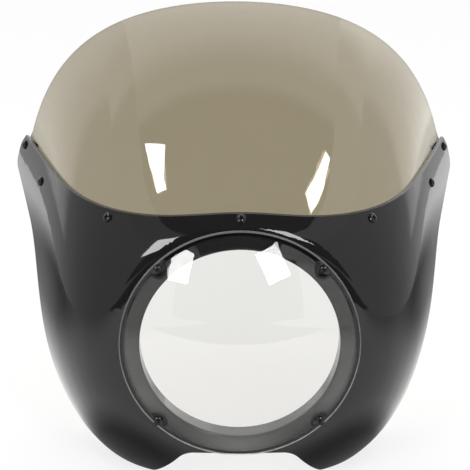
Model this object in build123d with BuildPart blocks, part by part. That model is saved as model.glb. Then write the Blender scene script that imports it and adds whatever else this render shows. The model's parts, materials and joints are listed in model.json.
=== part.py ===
from build123d import *
import os
from math import comb, cos, radians, sin, sqrt

# Headlight cowl for a café-racer motorbike: a gloss black moulded shell that wraps the headlamp,
# a smoked windscreen screwed inside its upper edge and a clear domed lens over the lamp opening.
# Frame: X to the right, Y towards the rider, Z up. The origin is the centre of the lamp opening,
# in the plane of the lens seat, and the front of the cowl faces -Y.

# Lamp opening, its return lip and the raised seat for the lens
opening_radius = 90
opening_edge_round = 2.5
lip_wall = 3
lip_depth = 20
lip_edge_round = 1
seat_width = 18.5
seat_rise = 0.8
seat_thickness = 4.5

# Sheets
cowl_wall = 3
screen_thickness = 3
spacer_thickness = 1
rest_gap = 0.05
edge_round = 0.8

# Form of the cowl: it turns away from the lens seat in a tight round and grows towards the rear.
# Each row holds the pulls of one smooth curve, from the seat to the rear.
form_depth = 300
form_start_width = 18
shoulder_half_width = 126
cheek_half_width = 189.6
flank_half_width = 170.4
waist_half_width = 202.1
wing_half_width = 232
crease_top = 119.5
brow_top = 129.4
slope_top = 211.6
crown_top = 258.4
rear_top = 267
chin_drop = 158.8
jaw_drop = 216.5
throat_drop = 241
rear_middle_rise = 44
upper_squareness = (0, 0.29, 0.47, 0.38)
lower_squareness = (0, 0.36, 0.42, 0.38)

# Upper edge of the shell, seen from the front, and the lower edge of the screen behind it
edge_centre_height = 121.3
edge_brow_half_width = 70
edge_brow_height = 115.9
edge_side_half_width = 172
edge_side_height = 116
edge_wing_height = 124.5
tuck_centre = 10
tuck_side = 32

# Rear edges, seen from the side
screen_rear = 258
screen_rear_lean = 0.04
screen_ear_inset = 5
wing_shoulder_depth = 276
wing_shoulder_height = 107.5
wing_shoulder_round = 25
wing_tip_depth = 286
wing_tip_height = 83
wing_tip_round = 8
wing_root_depth = 205
wing_root_height = 51
flank_rear_depth = 152
flank_rear_height = -13
jaw_rear_depth = 138
jaw_rear_height = -132
leg_rear_depth = 50
leg_rear_drop = 161
leg_rear_run = 2

# Legs and the arch between them, seen from the front
leg_outer_half_width = 150
leg_foot_half_width = 104
leg_foot_drop = 149
leg_tip_half_width = 79
leg_tip_drop = 146
leg_tip_round = 7
arch_half_width = 50
arch_drop = 108.5
arch_round = 18

# Lens: a clear moulding with a narrow flange, a round dome and a pocket in the dome for each screw
lens_thickness = 3
lens_overhang = 0.5
flange_width = 4
dome_rise = 30
dome_root_round = 1.5
lens_edge_round = 0.8
pocket_clearance = 1.5

# Fasteners
screw_diameter = 5
hole_clearance = 0.25
thread_clearance = 0.05
head_diameter = 9
head_height = 2.8
head_rim_height = 1
recess_length = 4.8
recess_width = 1.1
recess_depth = 1.6
recess_taper = 8
screw_tail = 2
screw_tail_chamfer = 0.6
nut_flats = 8
nut_height = 3.2
nut_corner_chamfer = 0.5
nut_collar_diameter = 7
nut_collar_height = 1.3
washer_diameter = 11
washer_thickness = 1.5
lens_screw_inset = 4.8
lens_screw_count = 4
lens_screw_turn = 45

# Windscreen screws: depth behind the seat and drop below the shell's upper edge, on each side
centre_screw_drop = 3.8
side_screws = ((39.3, 8.4), (174.5, 17.9), (258, 5.5))

# Worked out from the values above
seat_radius = opening_radius + seat_width
form_start = opening_radius + form_start_width
lens_radius = seat_radius + lens_overhang
hole_radius = screw_diameter / 2 + hole_clearance
screen_outer_depth = cowl_wall + spacer_thickness
screen_inner_depth = screen_outer_depth + screen_thickness
screen_grip = screen_inner_depth + washer_thickness
lens_grip = lens_thickness + seat_thickness + washer_thickness
far = 2 * form_depth

half_width_pulls = (
    form_start,
    shoulder_half_width,
    cheek_half_width,
    flank_half_width,
    waist_half_width,
    wing_half_width,
)
top_pulls = (form_start, crease_top, brow_top, slope_top, crown_top, rear_top)
drop_pulls = (form_start, chin_drop, jaw_drop, throat_drop)


# The form: one smooth skin, with a squared oval section at each depth

def pulled(pulls, share):
    """Value at a share of the way from the seat to the rear, drawn towards each pull in turn."""
    last = len(pulls) - 1
    return sum(
        comb(last, i) * pull * share**i * (1 - share) ** (last - i) for i, pull in enumerate(pulls)
    )


def form_point(turn, share):
    """Point of the outer skin. turn goes round the section in degrees, from +X over the top."""
    across, up = cos(radians(turn)), sin(radians(turn))
    upper = (1 + up) / 2
    middle = rear_middle_rise * share**4
    width = pulled(half_width_pulls, share)
    rise = pulled(top_pulls, share) - middle
    drop = pulled(drop_pulls, share) + middle
    height = drop + (rise - drop) * upper
    lower_square = pulled(lower_squareness, share)
    squareness = lower_square + (pulled(upper_squareness, share) - lower_square) * upper
    oval = (across / width) ** 2 + (up / height) ** 2
    corner = squareness * (across * up / (width * height)) ** 2
    reach = sqrt(2 / (oval + sqrt(oval**2 - 4 * corner)))
    depth = form_depth * share**2
    return Vector(reach * across, seat_rise + depth, middle + reach * up)


def form_normal(turn, share):
    """Outward direction of the skin, which faces straight forward where it leaves the seat."""
    if share == 0:
        return Vector(0, -1, 0)
    step = 0.0005
    along = form_point(turn, share + step) - form_point(turn, share - step)
    around = form_point(turn + step, share) - form_point(turn - step, share)
    return along.cross(around).normalized()


def skin(depth, turns, shares):
    """Face that lies at a depth under the outer skin, over a span of turns and of shares."""
    turn_steps = round((turns[1] - turns[0]) / 4)
    share_steps = 30
    rows = []
    for i in range(turn_steps + 1):
        turn = turns[0] + (turns[1] - turns[0]) * i / turn_steps
        row = []
        for j in range(share_steps + 1):
            share = shares[0] + (shares[1] - shares[0]) * j / share_steps
            row.append(form_point(turn, share) - form_normal(turn, share) * depth)
        rows.append(row)
    return Face.make_surface_from_array_of_points(rows, tol=0.01, min_deg=3, max_deg=6)


def sheet(outer_depth, inner_depth, turns, shares):
    """Solid between two depths under the outer skin."""
    outer = skin(outer_depth, turns, shares)
    inner = skin(inner_depth, turns, shares)
    rims = [Face.make_surface_from_curves(a, b) for a, b in zip(outer.edges(), inner.edges())]
    return Solid(Shell([outer, inner, *rims]))


def solved(rising, target, low, high):
    """Argument between low and high at which a rising function reaches its target."""
    for _ in range(50):
        middle = (low + high) / 2
        if rising(middle) < target:
            low = middle
        else:
            high = middle
    return middle


def screw_place(turn, share):
    """Plane on the outer skin, facing outwards."""
    return Plane(form_point(turn, share), z_dir=form_normal(turn, share))


def side_screw_places(depth, drop):
    """Screw places on both sides, at a depth behind the seat and a drop below the upper edge."""
    height = edge_side_height - drop
    share = solved(lambda s: form_point(90, s).Y, depth, 0, 1)
    turn = solved(lambda t: form_point(t, share).Z, height, 0, 90)
    return [screw_place(turn, share), screw_place(180 - turn, share)]


centre_share = solved(lambda s: form_point(90, s).Z, edge_centre_height - centre_screw_drop, 0, 1)
screen_screw_places = [screw_place(90, centre_share)]
for depth, drop in side_screws:
    screen_screw_places += side_screw_places(depth, drop)

lens_face = Plane((0, -lens_thickness, 0), x_dir=(1, 0, 0), z_dir=(0, -1, 0))
lens_screw_spots = PolarLocations(
    lens_radius - lens_screw_inset, lens_screw_count, start_angle=lens_screw_turn
)
lens_screw_places = [lens_face * spot for spot in lens_screw_spots.local_locations]


# Trims: each is a solid that is cut away from a sheet

edge_reach = wing_half_width * 1.1
edge_points = [
    (-edge_reach, edge_wing_height),
    (-edge_side_half_width, edge_side_height),
    (-edge_brow_half_width, edge_brow_height),
    (0, edge_centre_height),
    (edge_brow_half_width, edge_brow_height),
    (edge_side_half_width, edge_side_height),
    (edge_reach, edge_wing_height),
]
tuck_points = [
    (x, z - tuck_centre - (tuck_side - tuck_centre) * min(1, abs(x) / edge_side_half_width))
    for x, z in edge_points
]

with BuildPart() as above_edge:
    with BuildSketch(Plane.XZ):
        with BuildLine():
            Spline(*edge_points)
            Polyline(edge_points[-1], (edge_reach, far), (-edge_reach, far), edge_points[0])
        make_face()
    extrude(amount=far, both=True)

with BuildPart() as below_tuck:
    with BuildSketch(Plane.XZ):
        with BuildLine():
            Spline(*tuck_points)
            Polyline(tuck_points[-1], (edge_reach, -far), (-edge_reach, -far), tuck_points[0])
        make_face()
    extrude(amount=far, both=True)

with BuildPart() as behind_screen:
    with BuildSketch(Plane.YZ):
        with BuildLine():
            Polyline(
                (screen_rear + screen_rear_lean * far, edge_wing_height + far),
                (screen_rear, edge_wing_height),
                (wing_shoulder_depth - screen_ear_inset, wing_shoulder_height - screen_ear_inset),
                (wing_tip_depth - screen_ear_inset, wing_tip_height - screen_ear_inset),
                (wing_tip_depth - screen_ear_inset, -far),
                (far, -far),
                (far, edge_wing_height + far),
                close=True,
            )
        make_face()
    extrude(amount=far, both=True)

with BuildPart() as behind_cowl:
    with BuildSketch(Plane.YZ):
        with BuildLine():
            wing_shoulder = Vector(wing_shoulder_depth, wing_shoulder_height)
            rear_corner = Vector(screen_rear, edge_wing_height)
            edge_start = rear_corner * 2 - wing_shoulder
            wing_edge = FilletPolyline(
                edge_start,
                wing_shoulder,
                (wing_tip_depth, wing_tip_height),
                (wing_root_depth, wing_root_height),
                radius=[wing_shoulder_round, wing_tip_round],
            )
            flank_edge = Spline(
                wing_edge @ 1,
                (flank_rear_depth, flank_rear_height),
                (jaw_rear_depth, jaw_rear_height),
                (leg_rear_depth, -leg_rear_drop),
                tangents=(wing_edge % 1, (-leg_rear_run, -1)),
            )
            Polyline(
                flank_edge @ 1,
                (-far, -leg_rear_drop),
                (-far, -far),
                (far, -far),
                (far, edge_start.Y),
                edge_start,
            )
        make_face()
    extrude(amount=far, both=True)

with BuildPart() as below_legs:
    with BuildSketch(Plane.XZ):
        leg_edge = [
            (arch_half_width, -arch_drop),
            (leg_tip_half_width, -leg_tip_drop),
            (leg_foot_half_width, -leg_foot_drop),
            (leg_outer_half_width, -leg_foot_drop),
        ]
        with BuildLine():
            edge = FilletPolyline(
                *[(-x, z) for x, z in reversed(leg_edge)],
                *leg_edge,
                radius=[arch_round, leg_tip_round, arch_round, arch_round, leg_tip_round, arch_round],
            )
            Polyline(edge @ 1, (far, -far), (-far, -far), edge @ 0)
        make_face()
    extrude(amount=far, both=True)

cowl_turns = (-85, 265)
cowl_shares = (0, 1)
screen_turns = (2, 178)
screen_shares = (0.07, 1)
os.makedirs("parts", exist_ok=True)

# Cowl shell: the moulded sheet, trimmed, with the lens seat and the return lip of the opening

with BuildPart() as cowl_shell:
    add(sheet(0, cowl_wall, cowl_turns, cowl_shares))
    add(above_edge.part, mode=Mode.SUBTRACT)
    add(behind_cowl.part, mode=Mode.SUBTRACT)
    add(below_legs.part, mode=Mode.SUBTRACT)
    outer_rim = cowl_shell.faces().sort_by(SortBy.AREA)[-1].edges()
    upper_rim = outer_rim.filter_by_position(Axis.Z, wing_root_height, far)
    fillet(upper_rim.filter_by_position(Axis.Y, cowl_wall, far), edge_round)
    with BuildSketch(Plane.XZ):
        Circle(seat_radius)
        Circle(opening_radius, mode=Mode.SUBTRACT)
    extrude(amount=-seat_thickness)
    with BuildSketch(Plane.XZ):
        Circle(opening_radius + lip_wall)
        Circle(opening_radius, mode=Mode.SUBTRACT)
    extrude(amount=-lip_depth)
    rings = cowl_shell.edges().filter_by(GeomType.CIRCLE).group_by(Axis.Y)
    fillet(rings[-1], lip_edge_round)
    fillet(rings[0].sort_by(SortBy.RADIUS)[0], opening_edge_round)
    with Locations(*screen_screw_places, *lens_screw_places):
        Cylinder(hole_radius, 2 * lens_grip, mode=Mode.SUBTRACT)
cowl_shell.part.label = "cowl_shell"
export_step(cowl_shell.part, "parts/cowl_shell.step")

# Windscreen: a formed sheet that is tucked inside the shell's upper edge

with BuildPart() as windscreen:
    add(sheet(screen_outer_depth, screen_inner_depth, screen_turns, screen_shares))
    add(below_tuck.part, mode=Mode.SUBTRACT)
    add(behind_screen.part, mode=Mode.SUBTRACT)
    fillet(windscreen.faces().sort_by(SortBy.AREA)[-1].edges(), edge_round)
    with Locations(*screen_screw_places):
        Cylinder(hole_radius, 4 * screen_grip, mode=Mode.SUBTRACT)
windscreen.part.label = "windscreen"
export_step(windscreen.part, "parts/windscreen.step")

# Lens: the dome is part of a sphere, and its wall runs on around the pockets

dome_root_radius = lens_radius - flange_width
dome_radius = (dome_root_radius**2 + dome_rise**2) / (2 * dome_rise)
dome_centre = (0, dome_radius - dome_rise - lens_thickness, 0)
pocket_radius = head_diameter / 2 + pocket_clearance

with BuildPart() as dome_hollow:
    with Locations(dome_centre):
        Sphere(dome_radius - lens_thickness)
    split(bisect_by=Plane.XZ, keep=Keep.TOP)
    with Locations(*lens_screw_places):
        Cylinder(pocket_radius + lens_thickness, far, mode=Mode.SUBTRACT)

with BuildPart() as headlamp_lens:
    with Locations(dome_centre):
        Sphere(dome_radius)
    split(bisect_by=Plane.XZ.offset(lens_thickness), keep=Keep.TOP)
    with BuildSketch(Plane.XZ):
        Circle(lens_radius)
    extrude(amount=lens_thickness)
    front_rings = headlamp_lens.edges().filter_by(GeomType.CIRCLE).group_by(Axis.Y)[0]
    root_ring, rim_ring = front_rings.sort_by(SortBy.RADIUS)
    fillet(rim_ring, lens_edge_round)
    fillet(root_ring, dome_root_round)
    with Locations(*lens_screw_places):
        Cylinder(pocket_radius, far, align=(Align.CENTER, Align.CENTER, Align.MIN), mode=Mode.SUBTRACT)
        Cylinder(hole_radius, 2 * lens_grip, mode=Mode.SUBTRACT)
    add(dome_hollow.part, mode=Mode.SUBTRACT)
headlamp_lens.part.label = "headlamp_lens"
export_step(headlamp_lens.part, "parts/headlamp_lens.step")


# Fasteners: one of each is made upright at the origin, facing +Z, and then set in every place

def pan_screw(grip):
    """Pan-head screw with a cross recess, as long as the pieces that it holds."""
    end = -(grip + nut_height + nut_collar_height + screw_tail)
    shank = screw_diameter / 2
    head = head_diameter / 2
    head_top = rest_gap + head_height
    crown = head_height - head_rim_height
    with BuildPart() as screw:
        with BuildSketch(Plane.XZ):
            with BuildLine():
                outline = Polyline(
                    (0, head_top),
                    (0, end),
                    (shank - screw_tail_chamfer, end),
                    (shank, end + screw_tail_chamfer),
                    (shank, rest_gap),
                    (head, rest_gap),
                    (head, head_top - crown),
                )
                RadiusArc(outline @ 1, outline @ 0, -(head**2 + crown**2) / (2 * crown))
            make_face()
        revolve(axis=Axis.Z)
        with BuildSketch(Plane.XY.offset(head_top)):
            Rectangle(recess_length, recess_width)
            Rectangle(recess_width, recess_length)
        extrude(amount=-recess_depth, taper=recess_taper, mode=Mode.SUBTRACT)
    return screw.part


def lock_nut(grip):
    """Hexagon nut with a round collar at its far end, seated under the pieces that it holds."""
    with BuildPart() as blank:
        with Locations((0, 0, -grip - nut_height / 2)):
            Cylinder(nut_flats / sqrt(3), nut_height)
        chamfer(blank.edges().filter_by(GeomType.CIRCLE), nut_corner_chamfer)
    with BuildPart() as nut:
        with BuildSketch(Plane.XY.offset(-grip)):
            RegularPolygon(nut_flats / 2, 6, major_radius=False)
        extrude(amount=-nut_height)
        add(blank.part, mode=Mode.INTERSECT)
        with BuildSketch(Plane.XY.offset(-grip - nut_height)):
            Circle(nut_collar_diameter / 2)
        extrude(amount=-nut_collar_height)
        with Locations((0, 0, -grip)):
            Cylinder(screw_diameter / 2 + thread_clearance, 2 * far, mode=Mode.SUBTRACT)
    return nut.part


def washer_blank(top, bottom):
    """Round washer with a clearance hole, from one depth to another."""
    with BuildPart() as washer:
        with BuildSketch(Plane.XY.offset(-top)):
            Circle(washer_diameter / 2)
            Circle(hole_radius, mode=Mode.SUBTRACT)
        extrude(amount=top - bottom)
    return washer.part


with BuildPart() as windscreen_screws:
    with Locations(*screen_screw_places):
        add(pan_screw(screen_grip))
windscreen_screws.part.label = "windscreen_screws"
export_step(windscreen_screws.part, "parts/windscreen_screws.step")

# Soft spacers between shell and screen, which take the curve of both

with BuildPart() as windscreen_spacers:
    with Locations(*screen_screw_places):
        add(washer_blank(0, screen_inner_depth))
    spacer_skins = (cowl_wall + rest_gap, screen_outer_depth - rest_gap)
    add(sheet(*spacer_skins, screen_turns, screen_shares), mode=Mode.INTERSECT)
windscreen_spacers.part.label = "windscreen_spacers"
export_step(windscreen_spacers.part, "parts/windscreen_spacers.step")

# Soft washers behind the screen, flat under the nut

with BuildPart() as windscreen_washers:
    with Locations(*screen_screw_places):
        add(washer_blank(screen_inner_depth - screen_thickness / 2, screen_grip))
    screen_skins = (screen_outer_depth, screen_inner_depth + rest_gap)
    add(sheet(*screen_skins, screen_turns, screen_shares), mode=Mode.SUBTRACT)
windscreen_washers.part.label = "windscreen_washers"
export_step(windscreen_washers.part, "parts/windscreen_washers.step")

with BuildPart() as windscreen_nuts:
    with Locations(*screen_screw_places):
        add(lock_nut(screen_grip))
windscreen_nuts.part.label = "windscreen_nuts"
export_step(windscreen_nuts.part, "parts/windscreen_nuts.step")

with BuildPart() as lens_screws:
    with Locations(*lens_screw_places):
        add(pan_screw(lens_grip))
lens_screws.part.label = "lens_screws"
export_step(lens_screws.part, "parts/lens_screws.step")

with BuildPart() as lens_washers:
    with Locations(*lens_screw_places):
        add(washer_blank(lens_grip - washer_thickness, lens_grip))
lens_washers.part.label = "lens_washers"
export_step(lens_washers.part, "parts/lens_washers.step")

with BuildPart() as lens_nuts:
    with Locations(*lens_screw_places):
        add(lock_nut(lens_grip))
lens_nuts.part.label = "lens_nuts"
export_step(lens_nuts.part, "parts/lens_nuts.step")
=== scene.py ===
import json
from math import radians

import bmesh
import bpy
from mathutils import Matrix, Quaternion, Vector

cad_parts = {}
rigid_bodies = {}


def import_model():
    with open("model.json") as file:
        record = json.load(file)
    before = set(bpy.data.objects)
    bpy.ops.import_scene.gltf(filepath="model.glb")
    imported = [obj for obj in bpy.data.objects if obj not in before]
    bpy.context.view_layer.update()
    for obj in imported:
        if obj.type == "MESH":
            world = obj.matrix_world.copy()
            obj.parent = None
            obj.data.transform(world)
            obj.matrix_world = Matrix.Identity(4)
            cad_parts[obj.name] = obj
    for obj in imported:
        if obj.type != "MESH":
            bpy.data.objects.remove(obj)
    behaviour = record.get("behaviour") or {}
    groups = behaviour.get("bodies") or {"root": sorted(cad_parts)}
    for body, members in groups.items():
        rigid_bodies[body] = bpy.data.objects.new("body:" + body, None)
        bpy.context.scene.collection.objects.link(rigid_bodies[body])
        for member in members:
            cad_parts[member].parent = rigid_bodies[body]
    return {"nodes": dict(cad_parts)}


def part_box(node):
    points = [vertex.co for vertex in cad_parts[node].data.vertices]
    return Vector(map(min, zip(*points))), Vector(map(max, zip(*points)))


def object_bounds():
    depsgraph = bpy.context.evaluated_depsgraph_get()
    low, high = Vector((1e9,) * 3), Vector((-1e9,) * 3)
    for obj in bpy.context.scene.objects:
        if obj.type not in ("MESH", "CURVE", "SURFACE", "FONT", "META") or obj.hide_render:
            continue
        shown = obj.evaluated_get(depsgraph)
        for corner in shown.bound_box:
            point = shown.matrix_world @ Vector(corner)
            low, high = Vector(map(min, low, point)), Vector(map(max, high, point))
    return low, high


for start_object in list(bpy.data.objects):
    bpy.data.objects.remove(start_object)
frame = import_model()
cad_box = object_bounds()
pieces = frame["nodes"]


# Cowl shell
# The real shell is one moulding of black plastic that is polished to a deep gloss.
# It wraps the lamp, and its wings and legs carry the screen and the lens.

def add_node(tree, kind, **sockets):
    """Adds a node and sets its plain input values by socket name."""
    node = tree.nodes.new(kind)
    for name, value in sockets.items():
        node.inputs[name.replace("_", " ")].default_value = value
    return node


def scaled(tree, value, factor, offset):
    """Value times a factor plus an offset."""
    result = tree.nodes.new("ShaderNodeMath")
    result.operation = "MULTIPLY_ADD"
    result.inputs[1].default_value = factor
    result.inputs[2].default_value = offset
    tree.links.new(value, result.inputs[0])
    return result.outputs[0]


def combined(tree, operation, first, second):
    """Two values put together by one step of arithmetic."""
    result = tree.nodes.new("ShaderNodeMath")
    result.operation = operation
    tree.links.new(first, result.inputs[0])
    tree.links.new(second, result.inputs[1])
    return result.outputs[0]


def object_place(tree):
    return tree.nodes.new("ShaderNodeTexCoord").outputs["Object"]


def make_polish_group():
    """Polished plastic that was handled: slow ripples of the mould, wipe haze and dust specks."""
    group = bpy.data.node_groups.new("polished_plastic_marks", "ShaderNodeTree")
    group.interface.new_socket("Ripple Scale", in_out="INPUT", socket_type="NodeSocketFloat")
    group.interface.new_socket("Speck Scale", in_out="INPUT", socket_type="NodeSocketFloat")
    group.interface.new_socket("Ripple", in_out="OUTPUT", socket_type="NodeSocketFloat")
    group.interface.new_socket("Haze", in_out="OUTPUT", socket_type="NodeSocketFloat")
    group.interface.new_socket("Specks", in_out="OUTPUT", socket_type="NodeSocketFloat")
    given = group.nodes.new("NodeGroupInput")
    made = group.nodes.new("NodeGroupOutput")
    place = object_place(group)

    ripple = add_node(group, "ShaderNodeTexNoise", Detail=1.0, Roughness=0.4)
    group.links.new(place, ripple.inputs["Vector"])
    group.links.new(given.outputs["Ripple Scale"], ripple.inputs["Scale"])
    group.links.new(ripple.outputs["Fac"], made.inputs["Ripple"])

    wipe = add_node(group, "ShaderNodeTexNoise", Scale=14.0, Detail=5.0, Roughness=0.6, Distortion=1.2)
    group.links.new(place, wipe.inputs["Vector"])
    group.links.new(wipe.outputs["Fac"], made.inputs["Haze"])

    dust = add_node(group, "ShaderNodeTexVoronoi")
    group.links.new(place, dust.inputs["Vector"])
    group.links.new(given.outputs["Speck Scale"], dust.inputs["Scale"])
    speck = add_node(group, "ShaderNodeMapRange", From_Min=0.10, From_Max=0.04)
    group.links.new(dust.outputs["Distance"], speck.inputs["Value"])
    patch = add_node(group, "ShaderNodeMapRange", From_Min=0.5, From_Max=0.75)
    group.links.new(wipe.outputs["Fac"], patch.inputs["Value"])
    specks = combined(group, "MULTIPLY", speck.outputs["Result"], patch.outputs["Result"])
    group.links.new(specks, made.inputs["Specks"])
    return group


polish_group = make_polish_group()


def start_material(name):
    """New material with one Principled shader, and its node tree."""
    material = bpy.data.materials.new(name)
    material.use_nodes = True
    tree = material.node_tree
    return material, tree, tree.nodes["Principled BSDF"]


def add_polish(tree, ripple_scale, speck_scale):
    """Marks of polished plastic at the scale of one piece."""
    marks = tree.nodes.new("ShaderNodeGroup")
    marks.node_tree = polish_group
    marks.inputs["Ripple Scale"].default_value = ripple_scale
    marks.inputs["Speck Scale"].default_value = speck_scale
    return marks


def add_tone(tree, mask, clean, marked):
    """Colour that goes from clean to marked with a mask."""
    tone = tree.nodes.new("ShaderNodeMix")
    tone.data_type = "RGBA"
    tone.inputs["A"].default_value = (*clean, 1)
    tone.inputs["B"].default_value = (*marked, 1)
    tree.links.new(mask, tone.inputs["Factor"])
    return tone.outputs["Result"]


def add_bump(tree, height, distance, strength):
    """Normal that a height raises by a distance in metres."""
    bump = add_node(tree, "ShaderNodeBump", Strength=strength, Distance=distance)
    tree.links.new(height, bump.inputs["Height"])
    return bump.outputs["Normal"]


shell_black, tree, shader = start_material("polished_black_moulding")
shader.inputs["IOR"].default_value = 1.5
marks = add_polish(tree, 28.0, 420.0)
tree.links.new(
    add_tone(tree, marks.outputs["Specks"], (0.006, 0.006, 0.0065), (0.03, 0.03, 0.03)),
    shader.inputs["Base Color"],
)
tree.links.new(scaled(tree, marks.outputs["Haze"], 0.05, 0.02), shader.inputs["Roughness"])
tree.links.new(add_bump(tree, marks.outputs["Ripple"], 0.0004, 0.12), shader.inputs["Normal"])
pieces["cowl_shell"].data.materials[0] = shell_black


# Windscreen
# A sheet of smoked acrylic, formed hot over a plug and tucked inside the shell's upper edge.
# It is clear through its whole depth, with a warm brown-grey tint.

def let_shadow_through(tree, shader, tint):
    """Light goes through a clear sheet with its tint in place of a dark shadow."""
    light_path = tree.nodes.new("ShaderNodeLightPath")
    clear = tree.nodes.new("ShaderNodeBsdfTransparent")
    clear.inputs["Color"].default_value = (*tint, 1)
    either = tree.nodes.new("ShaderNodeMixShader")
    tree.links.new(light_path.outputs["Is Shadow Ray"], either.inputs["Fac"])
    tree.links.new(shader.outputs["BSDF"], either.inputs[1])
    tree.links.new(clear.outputs["BSDF"], either.inputs[2])
    tree.links.new(either.outputs["Shader"], tree.nodes["Material Output"].inputs["Surface"])


smoked, tree, shader = start_material("smoked_acrylic")
shader.inputs["Transmission Weight"].default_value = 1.0
shader.inputs["IOR"].default_value = 1.49
marks = add_polish(tree, 9.0, 300.0)
tree.links.new(
    add_tone(tree, marks.outputs["Haze"], (0.313, 0.271, 0.184), (0.333, 0.289, 0.198)),
    shader.inputs["Base Color"],
)
tree.links.new(scaled(tree, marks.outputs["Specks"], 0.05, 0.0), shader.inputs["Roughness"])
tree.links.new(add_bump(tree, marks.outputs["Ripple"], 0.0006, 0.08), shader.inputs["Normal"])
let_shadow_through(tree, shader, (0.6, 0.57, 0.5))
pieces["windscreen"].data.materials[0] = smoked


# Headlamp lens
# A clear moulding with a narrow flange and a round dome, screwed over the lamp opening.
# Each screw sits in a pocket that is moulded into the foot of the dome. The cut rim is frosted and has a
# painted glow: a faint emission makes it a bright line.

def faded(tree, value, start, end, start_level, end_level):
    """Level that goes smoothly from one to another while a value goes from start to end."""
    fade = add_node(
        tree, "ShaderNodeMapRange", From_Min=start, From_Max=end, To_Min=start_level, To_Max=end_level
    )
    fade.interpolation_type = "SMOOTHSTEP"
    tree.links.new(value, fade.inputs["Value"])
    return fade.outputs["Result"]


lens_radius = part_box("headlamp_lens")[1].x
frost_start, frost_end = lens_radius - 0.0012, lens_radius - 0.0006
painted_glow_start, painted_glow_end = lens_radius - 0.0011, lens_radius - 0.0007
clear, tree, shader = start_material("clear_polycarbonate")
shader.inputs["Transmission Weight"].default_value = 1.0
shader.inputs["IOR"].default_value = 1.5
marks = add_polish(tree, 18.0, 350.0)
tree.links.new(
    add_tone(tree, marks.outputs["Specks"], (0.875, 0.87, 0.85), (0.82, 0.82, 0.805)),
    shader.inputs["Base Color"],
)
flat = tree.nodes.new("ShaderNodeVectorMath")
flat.operation = "MULTIPLY"
flat.inputs[1].default_value = (1, 0, 1)
tree.links.new(object_place(tree), flat.inputs[0])
radius = tree.nodes.new("ShaderNodeVectorMath")
radius.operation = "LENGTH"
tree.links.new(flat.outputs["Vector"], radius.inputs[0])
frost = combined(
    tree, "ADD",
    scaled(tree, marks.outputs["Specks"], 0.06, 0.0),
    faded(tree, radius.outputs["Value"], frost_start, frost_end, 0.0, 0.45),
)
tree.links.new(frost, shader.inputs["Roughness"])
# Painted glow: a faint emission near the cut rim makes it a bright line, though the lens is no lamp.
painted_rim_glow = faded(tree, radius.outputs["Value"], painted_glow_start, painted_glow_end, 0.0, 1.0)
tree.links.new(add_tone(tree, painted_rim_glow, (0, 0, 0), (1, 1, 0.98)), shader.inputs["Emission Color"])
shader.inputs["Emission Strength"].default_value = 0.12
tree.links.new(add_bump(tree, marks.outputs["Ripple"], 0.0004, 0.06), shader.inputs["Normal"])
let_shadow_through(tree, shader, (0.95, 0.95, 0.94))
pieces["headlamp_lens"].data.materials[0] = clear


# Screws and nuts
# Steel with a thin black coating, whose tone and gloss vary a little from place to place.
# The screws hold the screen and the lens, and the nuts lock them from behind.

coated, tree, shader = start_material("black_coated_steel")
shader.inputs["IOR"].default_value = 1.45
marks = add_polish(tree, 260.0, 900.0)
tree.links.new(
    add_tone(tree, marks.outputs["Haze"], (0.004, 0.004, 0.004), (0.012, 0.012, 0.0115)),
    shader.inputs["Base Color"],
)
tree.links.new(scaled(tree, marks.outputs["Haze"], 0.14, 0.08), shader.inputs["Roughness"])
tree.links.new(add_bump(tree, marks.outputs["Ripple"], 0.0002, 0.2), shader.inputs["Normal"])
for name in ("windscreen_screws", "windscreen_nuts", "lens_screws", "lens_nuts"):
    pieces[name].data.materials[0] = coated


# Washers and spacers
# Cut from black rubber sheet, so they are matte and a little dusty.
# They sit between the shell and the screen and under each nut.

rubber, tree, shader = start_material("black_sheet_rubber")
marks = add_polish(tree, 700.0, 1200.0)
tree.links.new(
    add_tone(tree, marks.outputs["Haze"], (0.012, 0.012, 0.012), (0.04, 0.04, 0.039)),
    shader.inputs["Base Color"],
)
tree.links.new(scaled(tree, marks.outputs["Haze"], 0.2, 0.65), shader.inputs["Roughness"])
tree.links.new(add_bump(tree, marks.outputs["Ripple"], 0.0003, 0.5), shader.inputs["Normal"])
for name in ("windscreen_spacers", "windscreen_washers", "lens_washers"):
    pieces[name].data.materials[0] = rubber


# Studio
# A pale floor with white all round it, grey walls at the sides, a dim ceiling and a dark gap in front.
# Two soft boxes hang high over the sides, and two more stand to the left and right of the camera.

def ray_mask(tree, *kinds):
    """One for rays of any of the given kinds."""
    light_path = tree.nodes.new("ShaderNodeLightPath")
    mask = light_path.outputs[kinds[0]]
    for kind in kinds[1:]:
        mask = combined(tree, "MAXIMUM", mask, light_path.outputs[kind])
    return mask


seen_kinds = ("Is Camera Ray", "Is Glossy Ray", "Is Transmission Ray")


def mirror_mask(tree):
    """One for what is seen in a mirror, also through a clear piece, and zero for what is seen straight."""
    at_most_one = tree.nodes.new("ShaderNodeMath")
    at_most_one.operation = "MINIMUM"
    at_most_one.inputs[1].default_value = 1
    depth = tree.nodes.new("ShaderNodeLightPath").outputs["Glossy Depth"]
    tree.links.new(depth, at_most_one.inputs[0])
    return at_most_one.outputs[0]


def multiplied(tree, first, second):
    return combined(tree, "MULTIPLY", first, second)


def add_sheet(name, corners):
    """Flat sheet of the studio with the given corners."""
    shape = bmesh.new()
    shape.faces.new([shape.verts.new(corner) for corner in corners])
    mesh = bpy.data.meshes.new(name)
    shape.to_mesh(mesh)
    shape.free()
    sheet = bpy.data.objects.new(name, mesh)
    bpy.context.scene.collection.objects.link(sheet)
    return sheet


def add_panel(name, low, high):
    """Oblong sheet, level or upright, between two opposite corners."""
    if low[2] == high[2]:
        turn, back = (high[0], low[1], low[2]), (low[0], high[1], low[2])
    else:
        turn, back = (high[0], high[1], low[2]), (low[0], low[1], high[2])
    return add_sheet(name, (low, turn, high, back))


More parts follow.
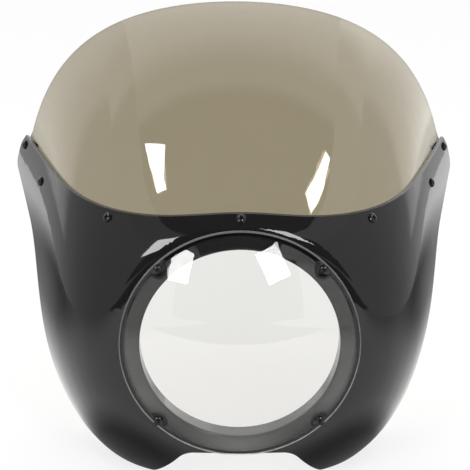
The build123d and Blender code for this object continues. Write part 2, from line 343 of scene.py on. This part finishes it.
def start_sheet_material(sheet):
    """New material without a shader on a sheet, and its node tree."""
    material = bpy.data.materials.new(sheet.name)
    material.use_nodes = True
    tree = material.node_tree
    tree.nodes.remove(tree.nodes["Principled BSDF"])
    sheet.data.materials.append(material)
    return tree


def show_on_sheet(tree, shader_output):
    tree.links.new(shader_output, tree.nodes["Material Output"].inputs["Surface"])


scene = bpy.context.scene
scene.view_settings.view_transform = "Standard"

world = bpy.data.worlds.new("white_studio")
world.use_nodes = True
scene.world = world
tree = world.node_tree
fill = tree.nodes["Background"]
fill.inputs["Color"].default_value = (1, 1, 1, 1)
fill.inputs["Strength"].default_value = 0.98
white = add_node(tree, "ShaderNodeBackground", Color=(1, 1, 1, 1), Strength=1.0)
choice = tree.nodes.new("ShaderNodeMixShader")
tree.links.new(ray_mask(tree, *seen_kinds), choice.inputs["Fac"])
tree.links.new(fill.outputs["Background"], choice.inputs[1])
tree.links.new(white.outputs["Background"], choice.inputs[2])
tree.links.new(choice.outputs["Shader"], tree.nodes["World Output"].inputs["Surface"])

# In a mirror the floor carries painted shade: a painted shadow around each leg, a painted dark patch at
# each side behind the part, and a painted fall-off towards the two side edges of the paper. In front of
# the part it is painted a little brighter.
floor_height = cad_box[0].z
floor_reach = 9.0
floor_glow = 0.76
paper_edge = 0.77
floor = add_panel(
    "floor", (-floor_reach, -floor_reach, floor_height), (floor_reach, floor_reach, floor_height)
)
tree = start_sheet_material(floor)
place = object_place(tree)
split = tree.nodes.new("ShaderNodeSeparateXYZ")
tree.links.new(place, split.inputs["Vector"])
across = tree.nodes.new("ShaderNodeMath")
across.operation = "ABSOLUTE"
tree.links.new(split.outputs["X"], across.inputs[0])
mirrored = mirror_mask(tree)
# Painted shade towards the paper's side edges and painted light in front of the part, seen only in
# mirrors.
painted_edge_shade = multiplied(
    tree,
    faded(tree, across.outputs[0], 0.35, paper_edge, 0.0, -0.45),
    faded(tree, split.outputs["Y"], 0.7, 0.98, 1.0, -0.35),
)
painted_front_light = faded(tree, split.outputs["Y"], 0.0, 0.35, 0.0, 0.06)
light = multiplied(
    tree,
    scaled(tree, multiplied(tree, painted_front_light, mirrored), 1.0, 1.0),
    scaled(tree, multiplied(tree, painted_edge_shade, mirrored), 1.0, 1.0),
)
# Each painted shade has its centre, its inner and outer radius and the share of light that it leaves.
painted_leg_shadow = ((0.1, 0.06), 0.05, 0.13, 0.17)
painted_side_shade = ((0.5, 0.5), 0.14, 0.48, 0.25)
# Painted shadow around each leg and painted shade at each side behind the part, seen only in mirrors.
for side in (-1, 1):
    for centre, inner, outer, level in (painted_leg_shadow, painted_side_shade):
        gap = tree.nodes.new("ShaderNodeVectorMath")
        gap.operation = "DISTANCE"
        gap.inputs[1].default_value = (side * centre[0], centre[1], floor_height)
        tree.links.new(place, gap.inputs[0])
        loss = faded(tree, gap.outputs["Value"], inner, outer, level - 1, 0.0)
        shade = scaled(tree, multiplied(tree, loss, mirrored), 1.0, 1.0)
        light = multiplied(tree, light, shade)
paper = tree.nodes.new("ShaderNodeBsdfDiffuse")
tree.links.new(scaled(tree, light, 0.9, 0.0), paper.inputs["Color"])
glow = add_node(tree, "ShaderNodeEmission", Color=(1, 1, 1, 1))
tree.links.new(light, glow.inputs["Strength"])
blend = tree.nodes.new("ShaderNodeMixShader")
tree.links.new(scaled(tree, ray_mask(tree, *seen_kinds), floor_glow, 0.0), blend.inputs["Fac"])
tree.links.new(paper.outputs["BSDF"], blend.inputs[1])
tree.links.new(glow.outputs["Emission"], blend.inputs[2])
show_on_sheet(tree, blend.outputs["Shader"])


def add_card(name, low, high, levels, fade, front_share, front_fade):
    """Card that shows only in mirrors: its grey changes over one stretch, and a share is left in front."""
    card = add_panel(name, low, high)
    card.visible_camera = False
    card.visible_diffuse = False
    card.visible_shadow = False
    tree = start_sheet_material(card)
    split = tree.nodes.new("ShaderNodeSeparateXYZ")
    tree.links.new(object_place(tree), split.inputs["Vector"])
    grey = multiplied(
        tree,
        faded(tree, split.outputs["Y"], *fade, *levels),
        faded(tree, split.outputs["Y"], *front_fade, front_share, 1.0),
    )
    glow = add_node(tree, "ShaderNodeEmission", Color=(1, 1, 1, 1))
    tree.links.new(grey, glow.inputs["Strength"])
    clear = tree.nodes.new("ShaderNodeBsdfTransparent")
    either = tree.nodes.new("ShaderNodeMixShader")
    tree.links.new(mirror_mask(tree), either.inputs["Fac"])
    tree.links.new(clear.outputs["BSDF"], either.inputs[1])
    tree.links.new(glow.outputs["Emission"], either.inputs[2])
    show_on_sheet(tree, either.outputs["Shader"])


# The cards are a ceiling with a cove and a wall at each side, a dark room in front, and the floor
# beyond the paper.
wall = 2.2
ceiling = 2.0
ceiling_edge = 1.3
front = -3.0
back = 7.0
paper_front = -0.62
margin_height = floor_height + 0.002
whole_length = (front, back)
dark_levels = (0.08, 0.08)
add_card(
    "dim_ceiling",
    (-ceiling_edge, front, ceiling), (ceiling_edge, back, ceiling),
    (0.75, 1.45), (0.75, 1.65), 0.15, (0.4, 0.65),
)
add_card(
    "dark_front",
    (-wall, front, floor_height), (wall, front, ceiling),
    dark_levels, whole_length, 1.0, whole_length,
)
add_card(
    "front_margin",
    (-paper_edge, front, margin_height), (paper_edge, paper_front, margin_height),
    dark_levels, whole_length, 1.0, whole_length,
)
wall_edge = (1.45, 1.85)
cove_edge = (1.0, 1.3)
for side, name, levels, back_fade, wall_share, cove_share in (
    (-1, "left", (1.05, 1.25), (1.9, 2.6), 0.55, 0.5), (1, "right", (1.2, 1.9), (1.9, 3.2), 0.58, 0.64)
):
    add_card(
        name + "_wall",
        (side * wall, front, floor_height), (side * wall, back, ceiling),
        levels, back_fade, wall_share, wall_edge,
    )
    add_card(
        name + "_cove",
        (side * wall, front, ceiling), (side * ceiling_edge, back, ceiling),
        levels, back_fade, cove_share, cove_edge,
    )
    add_card(
        name + "_margin",
        (side * wall, front, margin_height), (side * paper_edge, back, margin_height),
        levels, back_fade, wall_share, wall_edge,
    )


hung_height = 1.6
hung_level = 18.0


def add_hung_box(name, corners):
    """Soft box that hangs level: its face has the given corners."""
    face = add_sheet(name, [(x, y, hung_height) for x, y in corners])
    face.visible_camera = False
    tree = start_sheet_material(face)
    glow = add_node(tree, "ShaderNodeEmission", Color=(1, 1, 1, 1), Strength=hung_level)
    show_on_sheet(tree, glow.outputs["Emission"])


add_hung_box("left_soft_box", ((-0.95, 0.227), (-0.66, 0.1), (-0.735, -0.225), (-0.885, -0.238)))
add_hung_box("right_soft_box", ((0.893, 0.14), (1.006, 0.12), (0.905, -0.458), (0.71, -0.245)))

lamp_aim = Vector((0, 0.08, 0.05))


def add_soft_box(name, place, size, power, roll):
    """Soft box on a stand: it points at the lamp opening and is turned about its own axis."""
    lamp = bpy.data.lights.new(name, "AREA")
    lamp.shape = "RECTANGLE"
    lamp.size, lamp.size_y = size
    lamp.energy = power
    box = bpy.data.objects.new(name, lamp)
    box.location = place
    turn = Quaternion((0, 0, 1), radians(roll))
    box.rotation_euler = ((lamp_aim - box.location).to_track_quat("-Z", "Y") @ turn).to_euler()
    scene.collection.objects.link(box)


add_soft_box("left_front_box", (-0.674, -0.9, 0.563), (0.25, 0.37), 3.5, 0)
add_soft_box("right_front_box", (0.375, -0.9, 0.576), (0.268, 0.37), 3.7, 17)

lens = bpy.data.cameras.new("camera")
lens.sensor_width = 36
lens.lens = 130.9
camera = bpy.data.objects.new("camera", lens)
camera.location = (-0.0401, -1.4162, 0.6066)
view = Vector((0.02303, 0.94236, -0.33381))
roll = Quaternion((0, 0, 1), radians(0.6))
camera.rotation_euler = (view.to_track_quat("-Z", "Y") @ roll).to_euler()
scene.collection.objects.link(camera)
scene.camera = camera
